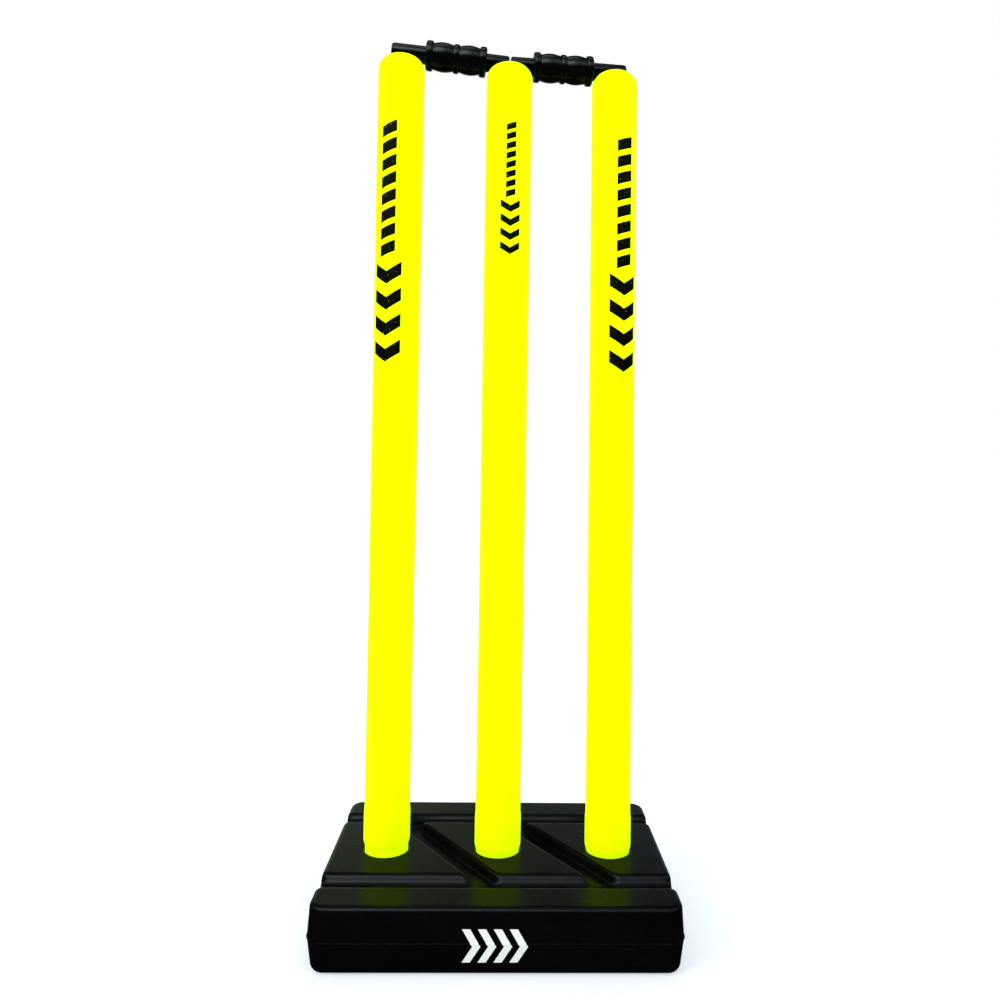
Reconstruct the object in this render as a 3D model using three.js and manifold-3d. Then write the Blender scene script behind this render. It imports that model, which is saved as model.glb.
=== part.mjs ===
// Cricket stumps on a free-standing weighted base, in millimetres, with +Z up.
// The origin is on the floor under the middle of the base. +X runs along the wicket, and the bowler is at -Y.

import * as THREE from 'three';
import { mergeVertices } from 'three/addons/utils/BufferGeometryUtils.js';
import Module from 'manifold-3d';

// Base body: width and depth are over the parting line
const baseWidth = 286;
const baseDepth = 202;
const baseHeight = 51;
const baseWall = 3;
const baseCornerRadius = 14;
const baseTopEdgeRadius = 4.5;
const baseFootEdgeRadius = 7;
const partingHeight = 25.5;
const partingBeadWidth = 1.6;
const partingBeadProud = 0.6;
const upperDraft = 1.5;
const lowerDraft = 2.4;

// Grooves: one behind the front bar, one before the rear bar, and two slanting across the deck between them.
// The deck's edges are measured from the line of the stumps.
const deckToFront = 47.3;
const deckToRear = 51.3;
const frontGrooveWidth = 20.3;
const frontGrooveDepth = 7.5;
const rearGrooveWidth = 15.5;
const rearGrooveDepth = 5.5;
const slantGrooveWidth = 22;
const slantGrooveDepth = 9;
const slantGrooveAngle = 34.9;
const slantGrooveOffset = 3;
const grooveWallAngle = 66;
const grooveLipRadius = 4;
const grooveFloorRadius = 4.5;

// Stumps: a tapered tube with a crowned top, a collar above the deck and a spigot below it
const stumpSpacing = 95.25;
const stumpLength = 711;
const stumpFootDiameter = 38.5;
const stumpTopDiameter = 40.2;
const stumpWall = 2.5;
const stumpEdgeRadius = 12;
const stumpCrownRadius = 45;
const blowHoleDiameter = 12;
const collarDiameter = 39.4;
const collarLength = 28;
const collarShoulder = 7;
const collarClearOfDeck = 1.9;
const spigotDiameter = 36.6;
const spigotEdgeRadius = 2.5;

// Sockets
const socketDepth = 35;
const socketInsertion = 31;
const socketClearance = 0.7;
const socketLipRadius = 1.5;

// How each stump stands in its socket's play: how much higher than the middle one it has jammed, and how far
// its crown leans along +X and away from the bowler
const leftSeatRaise = 4;
const rightSeatRaise = -0.5;
const leftLeanAlong = 1.2;
const rightLeanAlong = -1.8;
const leftLeanAway = -4.2;
const middleLeanAway = -1.7;
const rightLeanAway = 6.8;

// Bails: a long spigot for the outer stump, a barrel of three beads and two swells, and a short spigot. The
// left stump's groove is the shallower one, so the left bail perches higher at its outer end.
const bailLongSpigotLength = 30;
const bailBarrelLength = 52.6;
const bailShortSpigotLength = 20;
const bailSpigotDiameter = 15;
const bailSpigotTaper = 0.1;
const bailBeadDiameter = 25;
const bailBeadWidth = 5.6;
const bailMiddleBeadDiameter = 24;
const bailMiddleBeadWidth = 4.6;
const bailSwellDiameter = 24.2;
const bailWaistDiameter = 21;
const bailEdgeRadius = 1.4;
const bailAxisAboveTop = 0.4;
const leftBailPerch = 3.6;
const bailEndGap = 1.4;
const bailGrooveClearance = 1.5;

// Ballast, and the filling hole in a round recess on the rear face
const ballastHeight = 35;
const fitClearance = 0.35;
const fillerHeight = 24;
const fillerHoleDiameter = 20;
const fillerRecessDiameter = 34;
const fillerRecessDepth = 6;
const fillerHeadDiameter = 29;
const fillerHeadThickness = 3;
const fillerHeadEdge = 1;
const fillerShankReach = 9;
const fillerSlotWidth = 3;
const fillerSlotDepth = 1.4;
const fillerSlotMargin = 4;
const sealThickness = 1.5;
const sealDiameter = 27;

// Faceting, and how far a cut runs past the face that it opens
const stumpSides = 28;
const bailSides = 20;
const fillerSides = 24;
const cornerSteps = 4;
const arcSteps = 4;
const edgeSteps = 3;
const crownSteps = 2;
const domeSteps = 5;
const swellSteps = 5;
const cutOverrun = 5;

// Derived sizes
const grooveWallSlope = THREE.MathUtils.degToRad(grooveWallAngle);
const quarterTurn = Math.PI / 2;
const slantDrift = Math.tan(THREE.MathUtils.degToRad(slantGrooveAngle));
const frontGrooveY = -deckToFront - frontGrooveWidth / 2;
const rearGrooveY = deckToRear + rearGrooveWidth / 2;
const recessFloor = partingBeadProud + fillerRecessDepth;
const holeRadius = fillerHoleDiameter / 2;
const recessRadius = fillerRecessDiameter / 2;
const socketRadius = spigotDiameter / 2 + socketClearance;
const sides = { left: -1, middle: 0, right: 1 };
const bailPerches = { left: leftBailPerch, middle: 0, right: 0 };
const seatRaises = { left: leftSeatRaise, middle: 0, right: rightSeatRaise };
const leans = {
  left: new THREE.Vector3(leftLeanAlong, leftLeanAway, stumpLength),
  middle: new THREE.Vector3(0, middleLeanAway, stumpLength),
  right: new THREE.Vector3(rightLeanAlong, rightLeanAway, stumpLength),
};
const upward = new THREE.Vector3(0, 0, 1);

const wasm = await Module();
wasm.setup();

// A closed three.js geometry as a solid, with its faces turned outwards
function solid(geometry) {
  const bare = geometry.clone();
  bare.deleteAttribute('normal');
  bare.deleteAttribute('uv');
  const merged = mergeVertices(bare);
  const place = merged.getAttribute('position');
  const corner = (i) => new THREE.Vector3().fromBufferAttribute(place, i);
  const triangles = [];
  let volume = 0;
  for (let i = 0; i < merged.index.count; i += 3) {
    const [a, b, c] = [0, 1, 2].map((k) => merged.index.getX(i + k));
    if (a === b || b === c || c === a) continue;
    triangles.push([a, b, c]);
    volume += corner(a).dot(corner(b).cross(corner(c)));
  }
  const outward = volume < 0 ? triangles.map(([a, b, c]) => [a, c, b]) : triangles;
  const vertProperties = new Float32Array(place.array);
  const triVerts = new Uint32Array(outward.flat());
  return new wasm.Manifold(new wasm.Mesh({ numProp: 3, vertProperties, triVerts }));
}

// A solid as a named mesh in its own material
function part(name, body, material) {
  const { vertProperties, triVerts } = body.getMesh();
  const geometry = new THREE.BufferGeometry();
  geometry.setAttribute('position', new THREE.BufferAttribute(vertProperties, 3));
  geometry.setIndex(new THREE.BufferAttribute(triVerts, 1));
  geometry.computeVertexNormals();
  const mesh = new THREE.Mesh(geometry, material);
  mesh.name = name;
  return mesh;
}

// Points along an arc in a profile plane, from one angle to another, about a centre
function arc(x, y, radius, from, to, steps = arcSteps) {
  return Array.from({ length: steps + 1 }, (_, i) => {
    const angle = THREE.MathUtils.lerp(from, to, i / steps);
    return new THREE.Vector2(x + radius * Math.cos(angle), y + radius * Math.sin(angle));
  });
}

// A smooth rise or fall in radius between two heights, level at both ends
function shoulder(fromRadius, fromHeight, toRadius, toHeight) {
  return Array.from({ length: arcSteps + 1 }, (_, i) => {
    const share = i / arcSteps;
    const radius = THREE.MathUtils.lerp(fromRadius, toRadius, THREE.MathUtils.smoothstep(share, 0, 1));
    return new THREE.Vector2(radius, THREE.MathUtils.lerp(fromHeight, toHeight, share));
  });
}

// A profile of radius against height, turned about the Z axis
function turned(profile, segments) {
  const geometry = new THREE.LatheGeometry(profile, segments);
  geometry.rotateX(quarterTurn);
  return solid(geometry);
}

// A plain cylinder along Z from one height to another, as a profile on the axis
function cylinder(radius, from, to, segments) {
  const ends = [from, to].map((height) => new THREE.Vector2(radius, height));
  return turned([new THREE.Vector2(0, from), ...ends, new THREE.Vector2(0, to)], segments);
}

// A cylinder along X
function crossCylinder(radius, halfLength, height) {
  const geometry = new THREE.CylinderGeometry(radius, radius, 2 * halfLength, fillerSides);
  geometry.rotateZ(quarterTurn);
  geometry.translate(0, 0, height);
  return solid(geometry);
}

// One level outline of the base: a rectangle with round corners, drawn in from the parting line
function baseOutline(inset, height) {
  const radius = Math.max(baseCornerRadius - inset, partingBeadProud);
  const halfWidth = baseWidth / 2 - inset - radius;
  const halfDepth = baseDepth / 2 - inset - radius;
  const corners = [[1, 1], [-1, 1], [-1, -1], [1, -1]];
  return corners.flatMap(([x, y], quarter) => {
    const start = quarter * quarterTurn;
    const points = arc(x * halfWidth, y * halfDepth, radius, start, start + quarterTurn, cornerSteps);
    return points.map((p) => new THREE.Vector3(p.x, p.y, height));
  });
}

// A skin through level outlines of equal count, from the lowest to the highest, closed at both ends
function loft(outlines) {
  const count = outlines[0].length;
  const points = outlines.flat();
  const index = [];
  for (let level = 0; level < outlines.length - 1; level += 1) {
    for (let i = 0; i < count; i += 1) {
      const a = level * count + i;
      const b = level * count + (i + 1) % count;
      index.push(a, b, b + count, a, b + count, a + count);
    }
  }
  const top = points.length - count;
  for (let i = 1; i < count - 1; i += 1) {
    index.push(0, i + 1, i, top, top + i, top + i + 1);
  }
  const geometry = new THREE.BufferGeometry().setFromPoints(points);
  geometry.setIndex(index);
  return solid(geometry);
}

// The moulded block of the base, or with a wall given, the space left inside that wall
function baseBlock(wall, topHeight) {
  const outlines = [];
  const footInset = partingBeadProud + lowerDraft + baseFootEdgeRadius;
  const topInset = partingBeadProud + upperDraft + baseTopEdgeRadius;
  const footArc = arc(footInset, baseFootEdgeRadius, wall - baseFootEdgeRadius, quarterTurn, 0);
  footArc.forEach((p) => outlines.push(baseOutline(p.x, p.y)));
  const sideInset = partingBeadProud + wall;
  if (wall > 0) {
    outlines.push(baseOutline(sideInset, partingHeight));
  } else {
    outlines.push(baseOutline(sideInset, partingHeight - partingBeadWidth / 2));
    outlines.push(baseOutline(0, partingHeight));
    outlines.push(baseOutline(sideInset, partingHeight + partingBeadWidth / 2));
  }
  const topArc = arc(topInset, baseHeight - baseTopEdgeRadius, wall - baseTopEdgeRadius, 0, -quarterTurn);
  if (topHeight === undefined) {
    topArc.forEach((p) => outlines.push(baseOutline(p.x, p.y)));
  } else {
    outlines.push(baseOutline(sideInset + upperDraft, topHeight));
  }
  return loft(outlines);
}

// Half of a groove's section, from above the deck down to its floor, with a round lip and floor corner
function grooveFlank(width, depth, grow) {
  const bend = Math.tan(grooveWallSlope / 2);
  const mouth = width / 2 + grow / Math.sin(grooveWallSlope);
  const bottom = depth + grow;
  const lipRadius = Math.max(grooveLipRadius - grow, 0);
  const floorCorner = mouth - bottom / Math.tan(grooveWallSlope);
  const floorRadius = Math.min(grooveFloorRadius + grow, floorCorner / bend);
  const lipX = mouth + lipRadius * bend;
  const floorX = floorCorner - floorRadius * bend;
  const lip = arc(lipX, -lipRadius, lipRadius, quarterTurn, quarterTurn + grooveWallSlope);
  const floor = arc(floorX, floorRadius - bottom, floorRadius, grooveWallSlope - quarterTurn, -quarterTurn);
  return [new THREE.Vector2(lipX, cutOverrun), ...lip, ...floor];
}

// The cutter for one groove from a section's right half. It runs towards -Y by `length`, drifting towards +X
// by `drift` for each millimetre of that.
function grooveCutter(right, length, drift) {
  const left = right.map((p) => new THREE.Vector2(-p.x, p.y)).reverse();
  const geometry = new THREE.ExtrudeGeometry(new THREE.Shape([...right, ...left]), {
    depth: length, steps: 1, bevelEnabled: false,
  });
  const across = new THREE.Vector3(Math.hypot(1, drift), 0, 0);
  const run = new THREE.Vector3(drift, -1, 0);
  geometry.applyMatrix4(new THREE.Matrix4().makeBasis(across, new THREE.Vector3(0, 0, 1), run));
  return geometry;
}

// A groove right across the base, along X
function crossGroove(y, width, depth, grow) {
  const length = baseWidth + 2 * cutOverrun;
  const geometry = grooveCutter(grooveFlank(width, depth, grow), length, 0);
  geometry.rotateZ(quarterTurn);
  return solid(geometry.translate(-length / 2, y, baseHeight));
}

// A groove between two stumps, from the middle of the rear groove to the middle of the front one
function slantGroove(side, grow) {
  const flank = grooveFlank(slantGrooveWidth, slantGrooveDepth, grow);
  const geometry = grooveCutter(flank, rearGrooveY - frontGrooveY, slantDrift);
  const middle = side * stumpSpacing / 2 + slantGrooveOffset;
  return solid(geometry.translate(middle - slantDrift * rearGrooveY, rearGrooveY, baseHeight));
}

// All the grooves, or with a wall given, the room that their walls take from the inside
function grooves(grow) {
  const front = crossGroove(frontGrooveY, frontGrooveWidth, frontGrooveDepth, grow);
  const rear = crossGroove(rearGrooveY, rearGrooveWidth, rearGrooveDepth, grow);
  return front.add(rear).add(slantGroove(-1, grow)).add(slantGroove(1, grow));
}

// A socket's bore with a rounded lip
function socketBore() {
  const mouth = socketRadius + socketLipRadius;
  const floor = baseHeight - socketDepth;
  const lip = arc(mouth, baseHeight - socketLipRadius, socketLipRadius, Math.PI, quarterTurn);
  const above = baseHeight + cutOverrun;
  const ends = [new THREE.Vector2(mouth, above), new THREE.Vector2(0, above)];
  const foot = [new THREE.Vector2(0, floor), new THREE.Vector2(socketRadius, floor)];
  return turned([...foot, ...lip, ...ends], stumpSides);
}

// One solid at each stump's place
function atStumps(body) {
  const copies = Object.values(sides).map((side) => body.translate([side * stumpSpacing, 0, 0]));
  return copies.reduce((all, one) => all.add(one));
}

// A cylinder in the filling hole's line, from one depth under the rear face to another
function inFillerLine(radius, fromDepth, toDepth) {
  const body = cylinder(radius, -fromDepth, -toDepth, fillerSides);
  return body.rotate([-90, 0, 0]).translate([0, baseDepth / 2, fillerHeight]);
}

// The room inside the base that a wall of the given thickness leaves, up to a level top where one is given
function baseInside(wall, topHeight) {
  const columnFoot = baseHeight - socketDepth - wall;
  const column = cylinder(socketRadius + wall, columnFoot, baseHeight + cutOverrun, stumpSides);
  const boss = inFillerLine(recessRadius + wall, -cutOverrun, recessFloor + wall);
  return baseBlock(wall, topHeight).subtract(grooves(wall)).subtract(atStumps(column)).subtract(boss);
}

function baseShell() {
  const recess = inFillerLine(recessRadius, -cutOverrun, recessFloor);
  const hole = inFillerLine(holeRadius, recessFloor - partingBeadProud, recessFloor + baseWall + cutOverrun);
  const outside = baseBlock(0).subtract(grooves(0)).subtract(atStumps(socketBore()));
  return outside.subtract(baseInside(baseWall)).subtract(recess).subtract(hole);
}

// Dry sand, level on top, packed against the walls and kept off the plug
function sandBallast() {
  const room = baseInside(baseWall + fitClearance, ballastHeight);
  const plugEnd = recessFloor + fillerShankReach + 2 * fitClearance;
  return room.subtract(inFillerLine(holeRadius + fitClearance, 0, plugEnd));
}

// The plug's head has a coin slot, and its shank goes through the seal and the wall
function fillerPlug() {
  const headInner = recessFloor - sealThickness - 2 * fitClearance;
  const headOuter = headInner - fillerHeadThickness;
  const headRadius = fillerHeadDiameter / 2;
  const shankRadius = holeRadius - fitClearance;
  const edge = arc(headRadius - fillerHeadEdge, -headOuter - fillerHeadEdge, fillerHeadEdge, 0, quarterTurn);
  const profile = [
    new THREE.Vector2(0, -recessFloor - fillerShankReach),
    new THREE.Vector2(shankRadius - fillerHeadEdge, -recessFloor - fillerShankReach),
    new THREE.Vector2(shankRadius, fillerHeadEdge - recessFloor - fillerShankReach),
    new THREE.Vector2(shankRadius, -headInner),
    new THREE.Vector2(headRadius, -headInner),
    ...edge,
    new THREE.Vector2(0, -headOuter),
  ];
  const slotLength = fillerHeadDiameter - 2 * fillerSlotMargin;
  const slot = new THREE.BoxGeometry(slotLength, fillerSlotWidth, 2 * fillerSlotDepth);
  slot.translate(0, 0, -headOuter);
  const body = turned(profile, fillerSides).subtract(solid(slot));
  return body.rotate([-90, 0, 0]).translate([0, baseDepth / 2, fillerHeight]);
}

function fillerSeal() {
  const from = recessFloor - fitClearance;
  const ring = inFillerLine(sealDiameter / 2, from - sealThickness, from);
  return ring.subtract(inFillerLine(holeRadius, 0, from + cutOverrun));
}

// The crowned top of a stump, as two arcs that meet smoothly: the round edge, then the shallow crown
function domeArcs(radius, edgeRadius, crownRadius, top) {
  const lean = Math.asin((radius - edgeRadius) / (crownRadius - edgeRadius));
  const edgeHeight = top - crownRadius + (crownRadius - edgeRadius) * Math.cos(lean);
  const edge = arc(radius - edgeRadius, edgeHeight, edgeRadius, 0, quarterTurn - lean, domeSteps);
  const crown = arc(0, top - crownRadius, crownRadius, quarterTurn - lean, quarterTurn, crownSteps);
  return [...edge, ...crown.slice(1, -1), new THREE.Vector2(0, top)];
}

// A stump's outside, from the foot of its spigot at height 0 up to the crown
function stumpOutside() {
  const spigotRadius = spigotDiameter / 2;
  const collarRadius = collarDiameter / 2;
  const collarFoot = socketInsertion + collarClearOfDeck;
  const collarHead = collarFoot + collarLength;
  const half = collarShoulder / 2;
  const footEdge = arc(spigotRadius - spigotEdgeRadius, spigotEdgeRadius, spigotEdgeRadius, -quarterTurn, 0);
  return [
    new THREE.Vector2(0, 0),
    ...footEdge,
    ...shoulder(spigotRadius, collarFoot - half, collarRadius, collarFoot + half),
    ...shoulder(collarRadius, collarHead - half, stumpFootDiameter / 2, collarHead + half),
    ...domeArcs(stumpTopDiameter / 2, stumpEdgeRadius, stumpCrownRadius, stumpLength),
  ];
}

// The hollow of a stump, one wall inside the outside
function stumpInside() {
  const spigotRadius = spigotDiameter / 2 - stumpWall;
  const footRadius = stumpFootDiameter / 2 - stumpWall;
  const topRadius = stumpTopDiameter / 2 - stumpWall;
  const collarHead = socketInsertion + collarClearOfDeck + collarLength;
  const edgeRadius = stumpEdgeRadius - stumpWall;
  const crownRadius = stumpCrownRadius - stumpWall;
  return [
    new THREE.Vector2(0, stumpWall),
    new THREE.Vector2(spigotRadius, stumpWall),
    new THREE.Vector2(spigotRadius, socketInsertion),
    new THREE.Vector2(footRadius, collarHead),
    ...domeArcs(topRadius, edgeRadius, crownRadius, stumpLength - stumpWall),
  ];
}

// One hollow stump, with the groove for the bail spigots across its crown, higher by the perch, and the blow
// hole in its foot
function stump(bailPerch) {
  const grooveRadius = bailSpigotDiameter / 2 + bailGrooveClearance;
  const grooveHeight = stumpLength + bailAxisAboveTop + bailPerch;
  const reach = stumpTopDiameter / 2 + cutOverrun;
  const groove = crossCylinder(grooveRadius, reach, grooveHeight);
  const grooveWall = crossCylinder(grooveRadius + stumpWall, reach, grooveHeight);
  const inside = turned(stumpInside(), stumpSides).subtract(grooveWall);
  const blowHole = cylinder(blowHoleDiameter / 2, -cutOverrun, stumpWall + cutOverrun, fillerSides);
  return turned(stumpOutside(), stumpSides).subtract(groove).subtract(inside).subtract(blowHole);
}

// A bead of a bail, with round edges, between two places along it
function bead(from, width, diameter) {
  const flat = diameter / 2 - bailEdgeRadius;
  const low = arc(flat, from + bailEdgeRadius, bailEdgeRadius, -quarterTurn, 0, edgeSteps);
  const high = arc(flat, from + width - bailEdgeRadius, bailEdgeRadius, 0, quarterTurn, edgeSteps);
  return [...low, ...high];
}

// A swell of a bail between two beads, lowest at both ends
function swell(from, length) {
  return Array.from({ length: swellSteps + 1 }, (_, i) => {
    const share = i / swellSteps;
    const rise = Math.sin(share * Math.PI);
    const radius = THREE.MathUtils.lerp(bailWaistDiameter, bailSwellDiameter, rise) / 2;
    return new THREE.Vector2(radius, from + share * length);
  });
}

// A bail along Z, with the end of its short spigot at height 0
function bail() {
  const spigotRadius = bailSpigotDiameter / 2;
  const tipRadius = spigotRadius - bailSpigotTaper;
  const swellLength = (bailBarrelLength - 2 * bailBeadWidth - bailMiddleBeadWidth) / 2;
  const length = bailShortSpigotLength + bailBarrelLength + bailLongSpigotLength;
  const firstSwell = bailShortSpigotLength + bailBeadWidth;
  const middleBead = firstSwell + swellLength;
  const secondSwell = middleBead + bailMiddleBeadWidth;
  const lastBead = secondSwell + swellLength;
  const tipFlat = tipRadius - bailEdgeRadius;
  const nearEdge = arc(tipFlat, bailEdgeRadius, bailEdgeRadius, -quarterTurn, 0, edgeSteps);
  const farEdge = arc(tipFlat, length - bailEdgeRadius, bailEdgeRadius, 0, quarterTurn, edgeSteps);
  const profile = [
    new THREE.Vector2(0, 0),
    ...nearEdge,
    new THREE.Vector2(spigotRadius, bailShortSpigotLength),
    ...bead(bailShortSpigotLength, bailBeadWidth, bailBeadDiameter),
    ...swell(firstSwell, swellLength),
    ...bead(middleBead, bailMiddleBeadWidth, bailMiddleBeadDiameter),
    ...swell(secondSwell, swellLength),
    ...bead(lastBead, bailBeadWidth, bailBeadDiameter),
    new THREE.Vector2(spigotRadius, lastBead + bailBeadWidth),
    ...farEdge,
    new THREE.Vector2(0, length),
  ];
  return turned(profile, bailSides);
}

// Stands a stump in its socket. It leans about the middle of its spigot, and is turned so that the groove
// across its crown points the given way.
function standStump(mesh, side, grooveTurn) {
  const lean = new THREE.Quaternion().setFromUnitVectors(upward, leans[side].clone().normalize());
  const turn = new THREE.Quaternion().setFromAxisAngle(upward, grooveTurn);
  mesh.quaternion.multiplyQuaternions(lean, turn);
  const pivot = new THREE.Vector3(0, 0, socketInsertion / 2);
  const stand = new THREE.Vector3(sides[side] * stumpSpacing, 0, baseHeight - pivot.z + seatRaises[side]);
  mesh.position.copy(stand).sub(pivot.applyQuaternion(mesh.quaternion));
}

// Where the bail groove of a stump crosses its axis
function grooveCentre(side) {
  const rise = stumpLength + bailAxisAboveTop + bailPerches[side] - socketInsertion / 2;
  const stand = new THREE.Vector3(sides[side] * stumpSpacing, 0, baseHeight - socketInsertion / 2);
  stand.z += seatRaises[side];
  return stand.addScaledVector(leans[side].clone().normalize(), rise);
}

// The turn about Z from +X of the line between two stumps' grooves
function grooveTurn(from, to) {
  const line = grooveCentre(to).sub(grooveCentre(from));
  return Math.atan2(line.y, line.x);
}

// Lays a bail in the grooves of the middle stump and of the outer stump on its side
function layBail(mesh, side) {
  const inner = grooveCentre('middle');
  const outward = grooveCentre(side).sub(inner).normalize();
  mesh.quaternion.setFromUnitVectors(upward, outward);
  mesh.position.copy(inner).addScaledVector(outward, bailEndGap / 2);
}

// Finishes
function plastic(color, roughness) {
  return new THREE.MeshStandardMaterial({ color, roughness, metalness: 0 });
}

const blackMoulding = plastic(0x16171a, 0.45);
const blackBail = plastic(0x141518, 0.4);
const yellowMoulding = plastic(0xf4f400, 0.35);
const drySand = plastic(0xb79b6c, 0.95);
const blackRubber = plastic(0x1b1b1c, 0.8);

// The whole set
const cricketStumps = new THREE.Group();

const base = new THREE.Group();
base.add(part('base_shell', baseShell(), blackMoulding));
base.add(part('sand_ballast', sandBallast(), drySand));
base.add(part('filler_plug', fillerPlug(), blackMoulding.clone()));
base.add(part('filler_seal', fillerSeal(), blackRubber));
cricketStumps.add(base);

const grooveLines = {
  left: grooveTurn('left', 'middle'),
  middle: grooveTurn('left', 'right'),
  right: grooveTurn('middle', 'right'),
};
for (const side of Object.keys(sides)) {
  const mesh = part(`stump_${side}`, stump(bailPerches[side]), yellowMoulding.clone());
  standStump(mesh, side, grooveLines[side]);
  cricketStumps.add(mesh);
}

const bailBody = bail();
for (const side of ['left', 'right']) {
  const mesh = part(`bail_${side}`, bailBody, blackBail.clone());
  layBail(mesh, side);
  cricketStumps.add(mesh);
}

export default cricketStumps;
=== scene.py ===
# Cricket stumps on a weighted base: the finished surfaces, a pale floor, soft light and the camera.
import math

import bmesh
import bpy
from mathutils import Matrix, Vector


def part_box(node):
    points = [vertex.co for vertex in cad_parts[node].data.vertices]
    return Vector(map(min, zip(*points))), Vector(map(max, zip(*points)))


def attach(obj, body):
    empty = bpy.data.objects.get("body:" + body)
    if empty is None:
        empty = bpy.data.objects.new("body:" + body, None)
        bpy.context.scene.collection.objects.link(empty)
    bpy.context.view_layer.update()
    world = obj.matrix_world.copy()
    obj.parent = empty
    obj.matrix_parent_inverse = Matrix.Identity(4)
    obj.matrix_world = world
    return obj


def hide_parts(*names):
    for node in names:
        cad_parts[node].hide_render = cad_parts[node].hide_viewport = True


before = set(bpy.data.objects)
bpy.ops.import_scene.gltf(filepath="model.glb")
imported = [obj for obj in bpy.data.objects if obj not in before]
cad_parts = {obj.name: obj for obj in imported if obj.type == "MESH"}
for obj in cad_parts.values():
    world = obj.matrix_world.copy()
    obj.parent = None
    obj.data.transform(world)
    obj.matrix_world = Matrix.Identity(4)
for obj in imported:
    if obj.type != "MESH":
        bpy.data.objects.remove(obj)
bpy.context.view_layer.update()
MM = 0.001
QUARTER = math.pi / 2

# Steps round a turned shape: broad and in sight, slim and in sight, out of sight, and a small hole
BROAD_STEPS = 96
SLIM_STEPS = 72
HIDDEN_STEPS = 64
HOLE_STEPS = 48

# How far a cutter reaches past the face that it opens, and how close two corners have to be to become one,
# on a turned shape and after the cuts, in millimetres. An edge sharper than the crease stays sharp.
CUTTER_REACH = 5
TURNED_WELD = 0.002
CUT_WELD = 0.004
CREASE = math.radians(32)

# Base sizes in millimetres, as the solid has them
BASE_LOW, BASE_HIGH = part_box("base_shell")
BASE_WIDTH = (BASE_HIGH.x - BASE_LOW.x) / MM
BASE_DEPTH = (BASE_HIGH.y - BASE_LOW.y) / MM
BASE_HEIGHT = (BASE_HIGH.z - BASE_LOW.z) / MM
BASE_WALL = 3
CORNER_RADIUS = 14
TOP_EDGE = 3.8
FOOT_EDGE = 7
PARTING_HEIGHT = 25.5
BEAD_PROUD = 0.6
UPPER_DRAFT = 1.5
LOWER_DRAFT = 2.4
HOLLOW_EDGE = 3

# Grooves, as in the solid, with the floors rounded a little more and the mouths flared. The slanting ones are
# steeper in the wall, a millimetre shallower, 1.6 narrower and a millimetre further left. Their floor passes
# into that of the groove they meet over the floor blend. The deck lies between the two cross grooves.
DECK_FRONT = -47.3
DECK_REAR = 51.3
FRONT_WIDTH = 20.3
FRONT_DEPTH = 7.5
FRONT_Y = DECK_FRONT - FRONT_WIDTH / 2
REAR_WIDTH = 15.5
REAR_DEPTH = 5.5
REAR_Y = DECK_REAR + REAR_WIDTH / 2
SLANT_WIDTH = 20.4
SLANT_DEPTH = 8
SLANT_STEEPNESS = 1.5
SLANT = math.tan(math.radians(34.9))
SLANT_OFFSET = 2
WALL_ANGLE = math.radians(66)
LIP_RADIUS = 4
FLOOR_RADIUS = 5.5
SLANT_FLOOR_RADIUS = 3
LAND_CORNER = 5
MOUTH_FLARE = 2.2
MOUTH_REACH = 9
FLOOR_BLEND = 12

# The grid of the base's top: how near and far a groove's flank runs from its middle, the fine step there and
# the coarse one elsewhere, and how far past the slanting grooves the columns stop following them
SLANT_FLANK = (4, 14)
CROSS_FLANK = (1.5, 13.5)
COLUMN_STEPS = (0.6, 2.4)
ROW_STEPS = (0.65, 2.2)
FOLLOW_MARGIN = 2

# Stumps and sockets
STUMP_SPACING = 95.25
STUMP_LENGTH = 711
STUMP_FOOT_RADIUS = 19.25
STUMP_TOP_RADIUS = 20.1
STUMP_WALL = 2.5
STUMP_EDGE = 12
STUMP_CROWN = 45
BLOW_HOLE_RADIUS = 6
COLLAR_RADIUS = 19.7
COLLAR_FOOT = 32.9
COLLAR_LENGTH = 28
COLLAR_SHOULDER = 7
SPIGOT_RADIUS = 18.3
SPIGOT_EDGE = 2.5
SOCKET_RADIUS = 19
SOCKET_DEPTH = 35
SOCKET_LIP = 1.5
INSERTION = 31

# How each stump stands: its place along the wicket, how much higher than the middle one it has jammed in its
# socket, how far its crown leans along +X and away from the bowler, and the two stumps whose grooves its own
# groove is lined up with
SIDES = {"left": -1, "middle": 0, "right": 1}
RAISES = {"left": 4, "middle": 0, "right": -0.5}
LEANS = {"left": (1.2, -4.2), "middle": (0, -1.7), "right": (-1.8, 6.8)}
GROOVE_LINES = {"left": ("left", "middle"), "middle": ("left", "right"), "right": ("middle", "right")}

# Prints, each as (low, high, half width, pitch). A stump has a column of slanting bars over a stack of
# chevrons, turned from its front by an angle in degrees. The base has chevrons that lie on their side round a
# line at a height, on all that is in front of a plane. A slant is the rise for each step across, and the ink
# is the printed share of a pitch.
PRINT_TURNS = {"left": -22.5, "middle": 3.6, "right": 16.8}
OUTER_PRINT = ((534, 651, 7, 14.6), (442.5, 527, 13, 22))
MIDDLE_PRINT = ((590, 655, 4.2, 8.2), (540, 586, 8.6, 12))
BASE_PRINT = (-18, 29, 12.5, 11.8)
BASE_PRINT_HEIGHT = 23.5
BASE_PRINT_PLANE = -90
BAR_SLANT = 0.35
CHEVRON_SLANT = 0.62
BAR_INK = 0.66
CHEVRON_INK = 0.5
BASE_PRINT_INK = 0.52

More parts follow.
